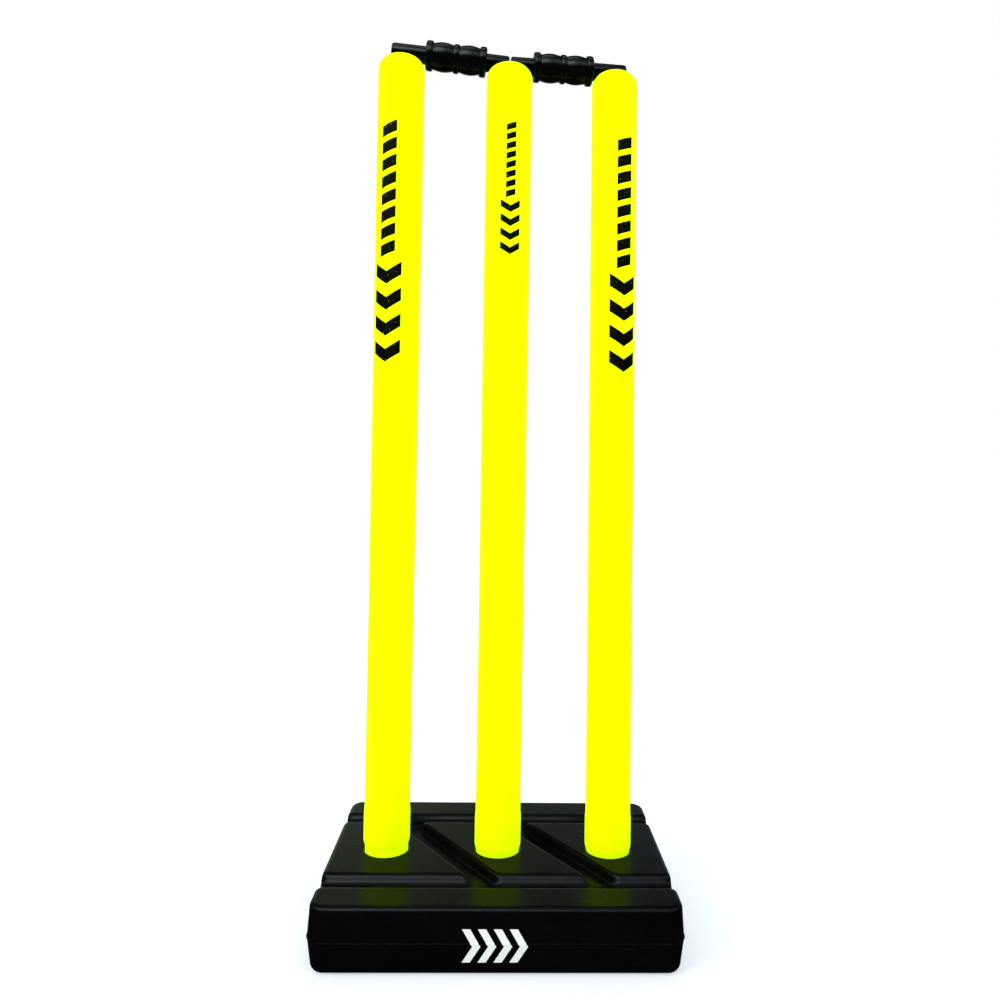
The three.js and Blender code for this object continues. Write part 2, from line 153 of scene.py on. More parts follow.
# Bails, with the beads a little wider and softer than in the solid. The left one perches in a shallower
# groove. The groove's reach is half the length of the bar that cuts it.
BAIL_LONG = 30
BAIL_BARREL = 52.6
BAIL_SHORT = 20
BAIL_SPIGOT = 7.5
BAIL_TIP = 7.4
BAIL_BEAD = 12.5
BAIL_BEAD_WIDTH = 6.1
BAIL_MIDDLE_BEAD = 12
BAIL_MIDDLE_WIDTH = 5.6
BAIL_SWELL = 12.1
BAIL_WAIST = 10.7
BAIL_EDGE = 1.9
BAIL_RISE = 0.4
BAIL_END_GAP = 1.4
BAIL_GROOVE_CLEARANCE = 1.5
BAIL_GROOVE_REACH = 40
BAIL_PERCHES = {"left": 3.6, "middle": 0, "right": 0}

# Filler plug on the rear face. The hole reaches a little way into the recess.
FILLER_HEIGHT = 24
HOLE_OVERLAP = 1
HOLE_RADIUS = 10
RECESS_RADIUS = 17
RECESS_FLOOR = 6.6
HEAD_RADIUS = 14.5
HEAD_OUTER = 1.4
HEAD_INNER = 4.4
SHANK_RADIUS = 9.65
SHANK_END = 15.6
PLUG_EDGE = 1
SLOT_LENGTH = 21
SLOT_WIDTH = 3
SLOT_DEPTH = 1.4


# Shape tools

def arc(x, y, radius, start, end, steps):
    """Points along an arc in a profile plane."""
    angles = [start + (end - start) * i / steps for i in range(steps + 1)]
    return [(x + radius * math.cos(a), y + radius * math.sin(a)) for a in angles]


def ease(share):
    """Smooth change from 0 to 1, level at both ends."""
    share = min(max(share, 0), 1)
    return share * share * (3 - 2 * share)


def shoulder(radius_a, height_a, radius_b, height_b, steps=8):
    """A smooth change of radius between two heights."""
    widening, climb = radius_b - radius_a, height_b - height_a
    shares = [i / steps for i in range(steps + 1)]
    return [(radius_a + widening * ease(s), height_a + climb * s) for s in shares]


def turned(profile, steps):
    """A bmesh turned about Z from (radius, height) points in millimetres, the ends on the axis."""
    bm = bmesh.new()
    verts = [bm.verts.new((r * MM, 0, h * MM)) for r, h in profile]
    edges = [bm.edges.new(pair) for pair in zip(verts, verts[1:])]
    bmesh.ops.spin(
        bm, geom=verts + edges, axis=Vector((0, 0, 1)), cent=(0, 0, 0), angle=2 * math.pi, steps=steps,
        use_merge=True)
    bmesh.ops.remove_doubles(bm, verts=bm.verts, dist=TURNED_WELD * MM)
    bmesh.ops.recalc_face_normals(bm, faces=bm.faces)
    return bm


def drum(radius, low, high, steps=HIDDEN_STEPS):
    """A closed cylinder about Z between two heights in millimetres."""
    return turned([(0, low), (radius, low), (radius, high), (0, high)], steps)


def placed(bm, matrix):
    """The same bmesh, moved by a matrix."""
    bmesh.ops.transform(bm, matrix=matrix, verts=bm.verts)
    return bm


def shift(x, y, z):
    """A move in millimetres."""
    return Matrix.Translation(Vector((x, y, z)) * MM)


def as_object(bm, name):
    """A bmesh as an object at the origin."""
    mesh = bpy.data.meshes.new(name)
    bm.to_mesh(mesh)
    bm.free()
    piece = bpy.data.objects.new(name, mesh)
    bpy.context.scene.collection.objects.link(piece)
    return piece


def combined(piece, cutter, operation="DIFFERENCE"):
    """Cuts a piece with a bmesh, or joins the two, and bakes the result into its mesh."""
    tool = as_object(cutter, "cutter")
    boolean = piece.modifiers.new("cut", "BOOLEAN")
    boolean.operation = operation
    boolean.solver = "EXACT"
    boolean.object = tool
    bpy.context.view_layer.update()
    shape = piece.evaluated_get(bpy.context.evaluated_depsgraph_get())
    mesh = bpy.data.meshes.new_from_object(shape)
    piece.modifiers.clear()
    old = piece.data
    piece.data = mesh
    bpy.data.meshes.remove(old)
    bpy.data.objects.remove(tool)


def mesh_taken_from(piece):
    """The mesh of an object as a bmesh, and the object removed."""
    bm = bmesh.new()
    bm.from_mesh(piece.data)
    bpy.data.objects.remove(piece)
    return bm


def smoothed(piece):
    """Smooth shading, except where two faces meet more sharply than the crease."""
    bm = bmesh.new()
    bm.from_mesh(piece.data)
    bmesh.ops.remove_doubles(bm, verts=bm.verts, dist=CUT_WELD * MM)
    for face in bm.faces:
        face.smooth = True
    for edge in bm.edges:
        edge.smooth = not (edge.is_manifold and edge.calc_face_angle(0) > CREASE)
    bm.to_mesh(piece.data)
    bm.free()
    return piece


def finished(piece, body, slot, material, *nodes):
    """Gives a piece its material and its body, and hides the nodes that it stands for. The slot is not used."""
    piece.data.name = piece.name
    piece.data.materials.clear()
    piece.data.materials.append(material)
    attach(piece, body)
    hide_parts(*nodes)


# Material tools

# How deep the grain of a blow-moulded skin is, as a share of the depth of its waves
GRAIN_SHARE = 0.06


def linear(code):
    """An sRGB hex colour as linear RGBA."""
    parts = [int(code[i:i + 2], 16) / 255 for i in (0, 2, 4)]
    return (*[p / 12.92 if p <= 0.04045 else ((p + 0.055) / 1.055) ** 2.4 for p in parts], 1)


def add(tree, kind, inputs=None, **settings):
    """Adds a shader node with its settings and gives back its outputs. An input that is a socket is linked,
    and any other is a value. MapRange counts its inputs as value, low, high, low and high of the result, and
    Mix has its colours at 6 and 7 and their mix at 2."""
    node = tree.nodes.new("ShaderNode" + kind)
    for key, value in settings.items():
        setattr(node, key, value)
    for key, value in (inputs or {}).items():
        if isinstance(value, bpy.types.NodeSocket):
            tree.links.new(value, node.inputs[key])
        else:
            node.inputs[key].default_value = value
    return node.outputs


def new_material(name):
    """A material with an empty node tree, and that tree."""
    material = bpy.data.materials.new(name)
    material.use_nodes = True
    material.node_tree.nodes.clear()
    return material, material.node_tree


def stacked_bars(tree, along, across, lean, sizes, ink):
    """A mask of solid bars stacked along one coordinate and bent by a lean. The sizes are (low, high, half
    width, pitch) in millimetres, and the ink is the share of each pitch that a bar fills."""
    low, high, half_width, pitch = [size * MM for size in sizes]
    bent = add(tree, "Math", {0: along, 1: lean}, operation="ADD")[0]
    turn = add(tree, "Math", {0: bent, 1: low}, operation="SUBTRACT")[0]
    turn = add(tree, "Math", {0: turn, 1: pitch}, operation="DIVIDE")[0]
    turn = add(tree, "Math", {0: turn}, operation="FRACT")[0]
    inked = add(tree, "Math", {0: turn, 1: ink}, operation="LESS_THAN")[0]
    aside = add(tree, "Math", {0: across}, operation="ABSOLUTE")[0]
    narrow = add(tree, "Math", {0: aside, 1: half_width}, operation="LESS_THAN")[0]
    above = add(tree, "Math", {0: bent, 1: low}, operation="GREATER_THAN")[0]
    below = add(tree, "Math", {0: bent, 1: high}, operation="LESS_THAN")[0]
    for limit in (narrow, above, below):
        inked = add(tree, "Math", {0: inked, 1: limit}, operation="MULTIPLY")[0]
    return inked


def chipped(tree, place, mark, size, bare, whole):
    """A printed mark that has lost specks of ink of a size in millimetres. A speck is bare below one level of
    its noise and whole above the other."""
    ink = add(tree, "TexNoise", {"Vector": place, "Scale": 1 / (size * MM), "Detail": 3})[0]
    ink = add(tree, "MapRange", {0: ink, 1: bare, 2: whole, 3: 0, 4: 1})[0]
    return add(tree, "Math", {0: mark, 1: ink}, operation="MULTIPLY")[0]


def rubbed(tree, place, stretch, width, patch, rub_levels, patch_levels, strength):
    """A mask of rubs in patches. A rub is drawn out by its stretch, and its width and the patch's are in
    millimetres. The levels say where in its noise each one starts and where it is full."""
    drawn = add(tree, "Mapping", {"Vector": place, "Scale": stretch})[0]
    rubs = add(tree, "TexNoise", {"Vector": drawn, "Scale": 1 / (width * MM), "Detail": 4})[0]
    start, full = rub_levels
    rubs = add(tree, "MapRange", {0: rubs, 1: start, 2: full, 3: 0, 4: 1})[0]
    patches = add(tree, "TexNoise", {"Vector": place, "Scale": 1 / (patch * MM), "Detail": 3})[0]
    start, full = patch_levels
    patches = add(tree, "MapRange", {0: patches, 1: start, 2: full, 3: 0, 4: strength})[0]
    return add(tree, "Math", {0: rubs, 1: patches}, operation="MULTIPLY")[0]


def worn_sheen(tree, clouds, worn, glossy, dull, wear):
    """The roughness of a skin: from glossy to dull with its clouds, and rougher where it is worn."""
    sheen = add(tree, "MapRange", {0: clouds, 1: 0.3, 2: 0.7, 3: glossy, 4: dull})[0]
    return add(tree, "Math", {0: worn, 1: wear, 2: sheen}, operation="MULTIPLY_ADD")[0]


def blown_relief(tree, place, grain, wave, depth, strength):
    """The relief of a blow-moulded skin: a fine grain over slow waves, both sizes and the depth in
    millimetres. The grain is a small share of the depth."""
    fine = add(tree, "TexNoise", {"Vector": place, "Scale": 1 / (grain * MM), "Detail": 2})[0]
    waves = add(tree, "TexNoise", {"Vector": place, "Scale": 1 / (wave * MM), "Detail": 1})[0]
    height = add(tree, "Math", {0: fine, 1: GRAIN_SHARE, 2: waves}, operation="MULTIPLY_ADD")[0]
    return add(tree, "Bump", {"Strength": strength, "Distance": depth * MM, "Height": height})[0]


# Materials

def black_blow_moulded_polyethylene():
    """Black high-density polyethylene, blow moulded in a blasted mould: a low, soft sheen, a fine grain,
    slow waves where the wall cooled, and light rubs from handling. Its specular level is far below the usual
    0.5, because the photograph's blacks are crushed, and the room that a gloss sees is brighter in step."""
    material, tree = new_material("black_blow_moulded_polyethylene")
    place = add(tree, "TexCoord")["Object"]
    x, y, z = add(tree, "SeparateXYZ", {0: place})

    # The pigment is a little uneven, in clouds about 38 mm wide
    clouds = add(tree, "TexNoise", {"Vector": place, "Scale": 1 / (38 * MM), "Detail": 2})[0]
    colour = add(tree, "Mix", {0: clouds, 6: linear("040405"), 7: linear("08080a")}, data_type="RGBA")[2]

    # Rubs run along the base, where it is dragged and stacked, 2 mm wide and 20 mm long
    worn = rubbed(
        tree, place, stretch=(1 / 9, 1, 1), width=2.2, patch=46, rub_levels=(0.6, 0.74),
        patch_levels=(0.5, 0.68), strength=0.3)
    colour = add(tree, "Mix", {0: worn, 6: colour, 7: linear("2e3032")}, data_type="RGBA")[2]

    # A white print of plain chevrons on the front face, lying on their side
    rise = add(tree, "Math", {0: z, 1: BASE_PRINT_HEIGHT * MM}, operation="SUBTRACT")[0]
    aside = add(tree, "Math", {0: rise}, operation="ABSOLUTE")[0]
    lean = add(tree, "Math", {0: aside, 1: CHEVRON_SLANT}, operation="MULTIPLY")[0]
    mark = stacked_bars(tree, x, rise, lean, BASE_PRINT, BASE_PRINT_INK)
    front = add(tree, "Math", {0: y, 1: BASE_PRINT_PLANE * MM}, operation="LESS_THAN")[0]
    mark = add(tree, "Math", {0: mark, 1: front}, operation="MULTIPLY")[0]
    mark = chipped(tree, place, mark, size=1.1, bare=0.27, whole=0.3)
    colour = add(tree, "Mix", {0: mark, 6: colour, 7: linear("f7f9f9")}, data_type="RGBA")[2]

    # The grain of the blasted mould is about 0.2 mm, drawn at 0.7 so that it shows
    sheen = worn_sheen(tree, clouds, worn, glossy=0.25, dull=0.31, wear=0.4)
    relief = blown_relief(tree, place, grain=0.7, wave=16, depth=0.19, strength=0.5)
    shader = add(tree, "BsdfPrincipled", {
        "Base Color": colour, "Roughness": sheen, "IOR": 1.54, "Specular IOR Level": 0.025,
        "Normal": relief,
    })[0]
    add(tree, "OutputMaterial", {"Surface": shader})
    return material


def fluorescent_yellow_polyethylene_painted_glow(side, stand, turn, bars, chevrons):
    """Blow-moulded polyethylene with daylight-fluorescent yellow pigment, with a satin skin and a flat black
    screen print on the side that faces the bowler. It carries a painted glow: an emission, greener than the
    pigment, that fills in its shade so that the yellow stays flat, and paints a green reflection into the black
    base. The specular level is low for the same reason as the base's, and the gloss that is left is as yellow
    as the pigment."""
    material, tree = new_material(f"fluorescent_yellow_polyethylene_{side}")
    place = add(tree, "TexCoord")["Object"]

    # Clouds of pigment 30 mm wide, and rubs along the stump, 1.6 mm wide and 22 mm long
    clouds = add(tree, "TexNoise", {"Vector": place, "Scale": 1 / (30 * MM), "Detail": 2})[0]
    colour = add(tree, "Mix", {0: clouds, 6: linear("eafb00"), 7: linear("efff00")}, data_type="RGBA")[2]
    worn = rubbed(
        tree, place, stretch=(1, 1, 1 / 14), width=1.6, patch=55, rub_levels=(0.64, 0.76),
        patch_levels=(0.5, 0.66), strength=0.25)
    colour = add(tree, "Mix", {0: worn, 6: colour, 7: linear("dce41c")}, data_type="RGBA")[2]

    # The print is placed from the stump's own foot and wraps round it, its width measured along the skin. No
    # glow comes through the ink.
    foot = {"Vector": place, "Location": stand.to_translation(), "Rotation": stand.to_euler()}
    x, y, up = add(tree, "SeparateXYZ", {0: add(tree, "Mapping", foot, vector_type="TEXTURE")[0]})
    ahead = add(tree, "Math", {0: y, 1: -1}, operation="MULTIPLY")[0]
    angle = add(tree, "Math", {0: x, 1: ahead}, operation="ARCTAN2")[0]
    angle = add(tree, "Math", {0: angle, 1: math.radians(turn)}, operation="SUBTRACT")[0]
    across = add(tree, "Math", {0: angle, 1: STUMP_TOP_RADIUS * MM}, operation="MULTIPLY")[0]
    slant = add(tree, "Math", {0: across, 1: -BAR_SLANT}, operation="MULTIPLY")[0]
    upper = stacked_bars(tree, up, across, slant, bars, BAR_INK)
    fold = add(tree, "Math", {0: across}, operation="ABSOLUTE")[0]
    fold = add(tree, "Math", {0: fold, 1: -CHEVRON_SLANT}, operation="MULTIPLY")[0]
    lower = stacked_bars(tree, up, across, fold, chevrons, CHEVRON_INK)
    mark = add(tree, "Math", {0: upper, 1: lower}, operation="MAXIMUM")[0]
    mark = chipped(tree, place, mark, size=0.9, bare=0.25, whole=0.28)
    colour = add(tree, "Mix", {0: mark, 6: colour, 7: linear("020202")}, data_type="RGBA")[2]
    # Painted glow: a green-yellow emission that lifts the stump's shaded sides and paints its reflection in the
    # base green. None comes through the ink.
    glow = add(tree, "Mix", {0: mark, 6: linear("aeff00"), 7: linear("000000")}, data_type="RGBA")[2]

    # The skin's grain is about 0.2 mm, drawn at 0.8 so that it shows
    sheen = worn_sheen(tree, clouds, worn, glossy=0.44, dull=0.52, wear=0.6)
    relief = blown_relief(tree, place, grain=0.8, wave=18, depth=0.15, strength=0.4)
    shader = add(tree, "BsdfPrincipled", {
        "Base Color": colour, "Roughness": sheen, "IOR": 1.54, "Specular IOR Level": 0.02,
        "Specular Tint": linear("fff000"), "Emission Color": glow, "Emission Strength": 0.84,
        "Normal": relief,
    })[0]
    add(tree, "OutputMaterial", {"Surface": shader})
    return material


def black_moulded_polypropylene(name, roughness):
    """Injection-moulded black polypropylene: tighter and shinier than the base, with draw marks a tenth of a
    millimetre apart, drawn at 0.9 mm so that they show. The specular level is low for the same reason as the
    base's."""
    material, tree = new_material(name)
    place = add(tree, "TexCoord")["Object"]
    clouds = add(tree, "TexNoise", {"Vector": place, "Scale": 1 / (9 * MM), "Detail": 2})[0]
    colour = add(tree, "Mix", {0: clouds, 6: linear("030304"), 7: linear("060607")}, data_type="RGBA")[2]
    drawn = add(tree, "Mapping", {"Vector": place, "Scale": (1 / 8, 1, 1)})[0]
    drawn = add(tree, "TexNoise", {"Vector": drawn, "Scale": 1 / (0.9 * MM), "Detail": 3})[0]
    rubs = add(tree, "MapRange", {0: drawn, 1: 0.6, 2: 0.74, 3: 0, 4: 0.2})[0]
    colour = add(tree, "Mix", {0: rubs, 6: colour, 7: linear("282a2c")}, data_type="RGBA")[2]
    sheen = add(tree, "MapRange", {0: drawn, 1: 0.3, 2: 0.7, 3: roughness, 4: roughness + 0.08})[0]
    relief = add(tree, "Bump", {"Strength": 0.35, "Distance": 0.08 * MM, "Height": drawn})[0]
    shader = add(tree, "BsdfPrincipled", {
        "Base Color": colour, "Roughness": sheen, "IOR": 1.49, "Specular IOR Level": 0.045,
        "Normal": relief,
    })[0]
    add(tree, "OutputMaterial", {"Surface": shader})
    return material


def dry_play_sand():
    """Kiln-dried play sand: pale quartz grains of 0.6 mm with darker ones among them."""
    material, tree = new_material("dry_play_sand")
    place = add(tree, "TexCoord")["Object"]
    grains = add(tree, "TexVoronoi", {"Vector": place, "Scale": 1 / (0.6 * MM)})
    tone = add(tree, "SeparateColor", {0: grains["Color"]})[0]
    colour = add(tree, "Mix", {0: tone, 6: linear("8d744b"), 7: linear("d8c69c")}, data_type="RGBA")[2]
    relief = add(tree, "Bump", {"Strength": 0.8, "Distance": 0.3 * MM, "Height": grains["Distance"]})[0]
    shader = add(tree, "BsdfPrincipled", {
        "Base Color": colour, "Roughness": 0.95, "Specular IOR Level": 0.2, "Normal": relief,
    })[0]
    add(tree, "OutputMaterial", {"Surface": shader})
    return material


def black_sealing_rubber():
    """Pressed black rubber: dull, with a bloom that greys it in patches of 5 mm, and fine pores, drawn at
    0.6 mm so that they show."""
    material, tree = new_material("black_sealing_rubber")
    place = add(tree, "TexCoord")["Object"]
    bloom = add(tree, "TexNoise", {"Vector": place, "Scale": 1 / (5 * MM), "Detail": 4})[0]
    colour = add(tree, "Mix", {0: bloom, 6: linear("141415"), 7: linear("2a2a2a")}, data_type="RGBA")[2]
    pores = add(tree, "TexNoise", {"Vector": place, "Scale": 1 / (0.6 * MM), "Detail": 2})[0]
    relief = add(tree, "Bump", {"Strength": 0.4, "Distance": 0.1 * MM, "Height": pores})[0]
    shader = add(tree, "BsdfPrincipled", {
        "Base Color": colour, "Roughness": 0.8, "Specular IOR Level": 0.3, "Normal": relief,
    })[0]
    add(tree, "OutputMaterial", {"Surface": shader})
    return material


# Base

def graded(half, middles, near, far, fine, coarse):
    """Places from -half to half, close together where the flank of a groove runs and wide elsewhere."""
    places = [-half]
    while places[-1] < half:
        at = places[-1]
        flank = any(near <= abs(at + fine / 2 - m) <= far for m in middles)
        places.append(at + (fine if flank else coarse))
    stretch = 2 * half / (places[-1] + half)
    return [(p + half) * stretch - half for p in places]


def smooth_max(a, b, reach):
    """The larger of two values, rounded over where they are alike."""
    share = max(reach - abs(a - b), 0) / reach
    return max(a, b) + share * share * reach / 4


def nearest_groove(x, y):
    """How far a place on the base lies inside the lip of its nearest groove, and that groove's depth and
    corner radius, in millimetres. The slanting grooves count faster, for their steeper walls."""
    mouth = (abs(x) - BASE_WIDTH / 2 + MOUTH_REACH) / MOUTH_REACH
    front = FRONT_WIDTH / 2 - abs(y - FRONT_Y)
    rear = REAR_WIDTH / 2 - abs(y - REAR_Y)
    cross = max(front, rear) + MOUTH_FLARE * ease(mouth)
    off_line = abs(abs(x + SLANT * y - SLANT_OFFSET) - STUMP_SPACING / 2) / math.hypot(1, SLANT)
    slant = min((SLANT_WIDTH / 2 - off_line) * SLANT_STEEPNESS, y - FRONT_Y, REAR_Y - y)
    share = ease(0.5 + (slant - cross) / FLOOR_BLEND)
    depth = FRONT_DEPTH if front > rear else REAR_DEPTH
    corner = FLOOR_RADIUS + (SLANT_FLOOR_RADIUS - FLOOR_RADIUS) * share
    return smooth_max(cross, slant, LAND_CORNER), depth + (SLANT_DEPTH - depth) * share, corner


def groove_drop(inside, depth, corner):
    """The drop at a distance in from a groove's lip: round lip, steep flank, round corner, flat floor."""
    bend = math.tan(WALL_ANGLE / 2)
    radius = min(corner, depth / (1 - math.cos(WALL_ANGLE)) - LIP_RADIUS)
    lip_start = -LIP_RADIUS * bend
    lip_end = lip_start + LIP_RADIUS * math.sin(WALL_ANGLE)
    floor_start = depth / math.tan(WALL_ANGLE) + radius * bend
    corner_start = floor_start - radius * math.sin(WALL_ANGLE)
    if inside <= lip_start:
        return 0
    if inside <= lip_end:
        return LIP_RADIUS - math.sqrt(LIP_RADIUS ** 2 - (inside - lip_start) ** 2)
    if inside <= corner_start:
        return inside * math.tan(WALL_ANGLE)
    if inside <= floor_start:
        return depth - radius + math.sqrt(radius ** 2 - (floor_start - inside) ** 2)
    return depth


def outward(x, y):
    """The direction square to the base's side at a place on its outline."""
    straight_x = BASE_WIDTH / 2 - CORNER_RADIUS
    straight_y = BASE_DEPTH / 2 - CORNER_RADIUS
    past_x = math.copysign(max(abs(x) - straight_x, 0), x)
    past_y = math.copysign(max(abs(y) - straight_y, 0), y)
    return Vector((past_x, past_y, 0)).normalized()


def top_sheet(inset):
    """The flat top as a grid whose lines follow the slanting grooves, with its corners rounded."""
    half_w = BASE_WIDTH / 2 - inset
    half_d = BASE_DEPTH / 2 - inset
    widen = math.hypot(1, SLANT)
    near, far = [reach * widen for reach in SLANT_FLANK]
    slants = [SLANT_OFFSET + side * STUMP_SPACING / 2 for side in (-1, 1)]
    columns = graded(half_w, slants, near, far, *COLUMN_STEPS)
    rows = graded(half_d, (FRONT_Y, REAR_Y), *CROSS_FLANK, *ROW_STEPS)
    bm = bmesh.new()
    bmesh.ops.create_grid(bm, x_segments=len(columns) - 1, y_segments=len(rows) - 1, size=1)
    round_radius = CORNER_RADIUS - inset
    still = slants[1] + far + FOLLOW_MARGIN
    for vert in bm.verts:
        u = columns[round((vert.co.x + 1) / 2 * (len(columns) - 1))]
        y = rows[round((vert.co.y + 1) / 2 * (len(rows) - 1))]
        follow = 1 - ease((abs(u) - still) / (half_w - round_radius - still))
        x = u - SLANT * min(max(y, FRONT_Y), REAR_Y) * follow
        a = (abs(x) - half_w + round_radius) / round_radius
        b = (abs(y) - half_d + round_radius) / round_radius
        if a > 0 and b > 0:
            x = math.copysign(half_w - round_radius * (1 - a * math.sqrt(1 - b * b / 2)), x)
            y = math.copysign(half_d - round_radius * (1 - b * math.sqrt(1 - a * a / 2)), y)
        vert.co = Vector((x, y, BASE_HEIGHT)) * MM
    return bm


def base_block():
    """The base's outside: the top, then rings out and down its edge, side, parting bead and foot."""
    side_top = BEAD_PROUD + UPPER_DRAFT
    side_foot = BEAD_PROUD + LOWER_DRAFT
    top_edge = arc(side_top + TOP_EDGE, BASE_HEIGHT - TOP_EDGE, -TOP_EDGE, -QUARTER, 0, steps=9)
    bead_edge = arc(BEAD_PROUD, PARTING_HEIGHT, -BEAD_PROUD, -QUARTER, QUARTER, steps=4)
    foot_edge = arc(side_foot + FOOT_EDGE, FOOT_EDGE, -FOOT_EDGE, 0, QUARTER, steps=9)
    middle = ((side_top + BEAD_PROUD) / 2, (BASE_HEIGHT - TOP_EDGE + PARTING_HEIGHT) / 2)
    rings = [*top_edge[1:], middle, *bead_edge, *foot_edge]
    inset = side_top + TOP_EDGE
    bm = top_sheet(inset)
    rim = [e for e in bm.edges if e.is_boundary]
    for ring_inset, height in rings:
        grown = bmesh.ops.extrude_edge_only(bm, edges=rim)["geom"]
        rim = [e for e in grown if isinstance(e, bmesh.types.BMEdge) and e.is_boundary]
        for vert in {v for e in rim for v in e.verts}:
            push = outward(vert.co.x / MM, vert.co.y / MM) * (inset - ring_inset) * MM
            vert.co = Vector((vert.co.x + push.x, vert.co.y + push.y, height * MM))
        inset = ring_inset
    bmesh.ops.contextual_create(bm, geom=rim)
    for vert in bm.verts:
        rise = vert.co.z / MM - PARTING_HEIGHT
        if rise > BEAD_PROUD:
            drop = groove_drop(*nearest_groove(vert.co.x / MM, vert.co.y / MM))
            share = (rise - BEAD_PROUD) / (BASE_HEIGHT - PARTING_HEIGHT - BEAD_PROUD)
            vert.co.z -= drop * share * MM
    bmesh.ops.recalc_face_normals(bm, faces=bm.faces)
    return bm


def in_filler_line(bm):
    """Turns a shape made along Z so that it runs in from the rear face on the filling hole's line."""
    return placed(bm, shift(0, BASE_DEPTH / 2, FILLER_HEIGHT) @ Matrix.Rotation(-QUARTER, 4, "X"))


def base_hollow():
    """The room inside the base, round the sockets and the filler's boss."""
    inset = BEAD_PROUD + LOWER_DRAFT + BASE_WALL
    low, high = BASE_WALL, BASE_HEIGHT - SLANT_DEPTH - BASE_WALL
    bm = bmesh.new()
    bmesh.ops.create_cube(bm, size=1)
    size = Vector((BASE_WIDTH - 2 * inset, BASE_DEPTH - 2 * inset, high - low)) * MM
    bmesh.ops.scale(bm, vec=size, verts=bm.verts)
    placed(bm, shift(0, 0, (low + high) / 2))
    bmesh.ops.bevel(
        bm, geom=bm.edges, offset=HOLLOW_EDGE * MM, segments=4, profile=0.5, affect="EDGES", material=-1)
    room = as_object(bm, "room")
    socket_foot = BASE_HEIGHT - SOCKET_DEPTH - BASE_WALL
    for place in SIDES.values():
        column = drum(SOCKET_RADIUS + BASE_WALL, socket_foot, BASE_HEIGHT)
        combined(room, placed(column, shift(place * STUMP_SPACING, 0, 0)))
    boss = drum(RECESS_RADIUS + BASE_WALL, -RECESS_FLOOR - BASE_WALL, CUTTER_REACH)
    combined(room, in_filler_line(boss))
    hole = drum(HOLE_RADIUS, -RECESS_FLOOR - 2 * BASE_WALL, -RECESS_FLOOR + HOLE_OVERLAP)
    combined(room, in_filler_line(hole), "UNION")
    return mesh_taken_from(room)


def make_base(material):
    """The base: its block, hollowed, with three round-lipped sockets and the recess for the plug's head."""
    base = as_object(base_block(), "base_moulding")
    combined(base, base_hollow())
    floor, mouth = BASE_HEIGHT - SOCKET_DEPTH, SOCKET_RADIUS + SOCKET_LIP
    bore = [
        (0, floor), (SOCKET_RADIUS, floor),
        *arc(mouth, BASE_HEIGHT - SOCKET_LIP, SOCKET_LIP, math.pi, QUARTER, steps=5),
        (mouth, BASE_HEIGHT + CUTTER_REACH), (0, BASE_HEIGHT + CUTTER_REACH),
    ]
    for place in SIDES.values():
        combined(base, placed(turned(bore, BROAD_STEPS), shift(place * STUMP_SPACING, 0, 0)))
    combined(base, in_filler_line(drum(RECESS_RADIUS, -RECESS_FLOOR, CUTTER_REACH, BROAD_STEPS)))
    finished(smoothed(base), "base", "black_moulding", material, "base_shell")


def make_filler_plug(material):
    """The filler plug: a shank under a round head with a slot across it for a coin."""
    edge = arc(HEAD_RADIUS - PLUG_EDGE, -HEAD_OUTER - PLUG_EDGE, PLUG_EDGE, 0, QUARTER, steps=5)
    foot = arc(SHANK_RADIUS - PLUG_EDGE, PLUG_EDGE - SHANK_END, PLUG_EDGE, -QUARTER, 0, steps=4)
    profile = [
        (0, -SHANK_END), *foot, (SHANK_RADIUS, -HEAD_INNER),
        (HEAD_RADIUS, -HEAD_INNER), *edge, (0, -HEAD_OUTER),
    ]
    plug = as_object(in_filler_line(turned(profile, SLIM_STEPS)), "filler_plug_moulding")
    slot = bmesh.new()
    bmesh.ops.create_cube(slot, size=1)
    bmesh.ops.scale(slot, vec=Vector((SLOT_LENGTH, SLOT_WIDTH, 2 * SLOT_DEPTH)) * MM, verts=slot.verts)
    placed(slot, shift(0, 0, -HEAD_OUTER))
    combined(plug, in_filler_line(slot))
    finished(smoothed(plug), "filler", "black_moulding", material, "filler_plug")


# Stumps

def dome(radius, edge_radius, crown_radius, top):
    """A crowned top: the round edge, then the shallow crown, meeting smoothly."""
    lean = math.asin((radius - edge_radius) / (crown_radius - edge_radius))
    edge_height = top - crown_radius + (crown_radius - edge_radius) * math.cos(lean)
    edge = arc(radius - edge_radius, edge_height, edge_radius, 0, QUARTER - lean, steps=16)
    crown = arc(0, top - crown_radius, crown_radius, QUARTER - lean, QUARTER, steps=8)
    return [*edge, *crown[1:-1], (0, top)]


def groove_bar(radius, height):
    """A cylinder along X at a height, which cuts the groove that the bails lie in."""
    bar = drum(radius, -BAIL_GROOVE_REACH, BAIL_GROOVE_REACH)
    return placed(placed(bar, Matrix.Rotation(QUARTER, 4, "Y")), shift(0, 0, height))


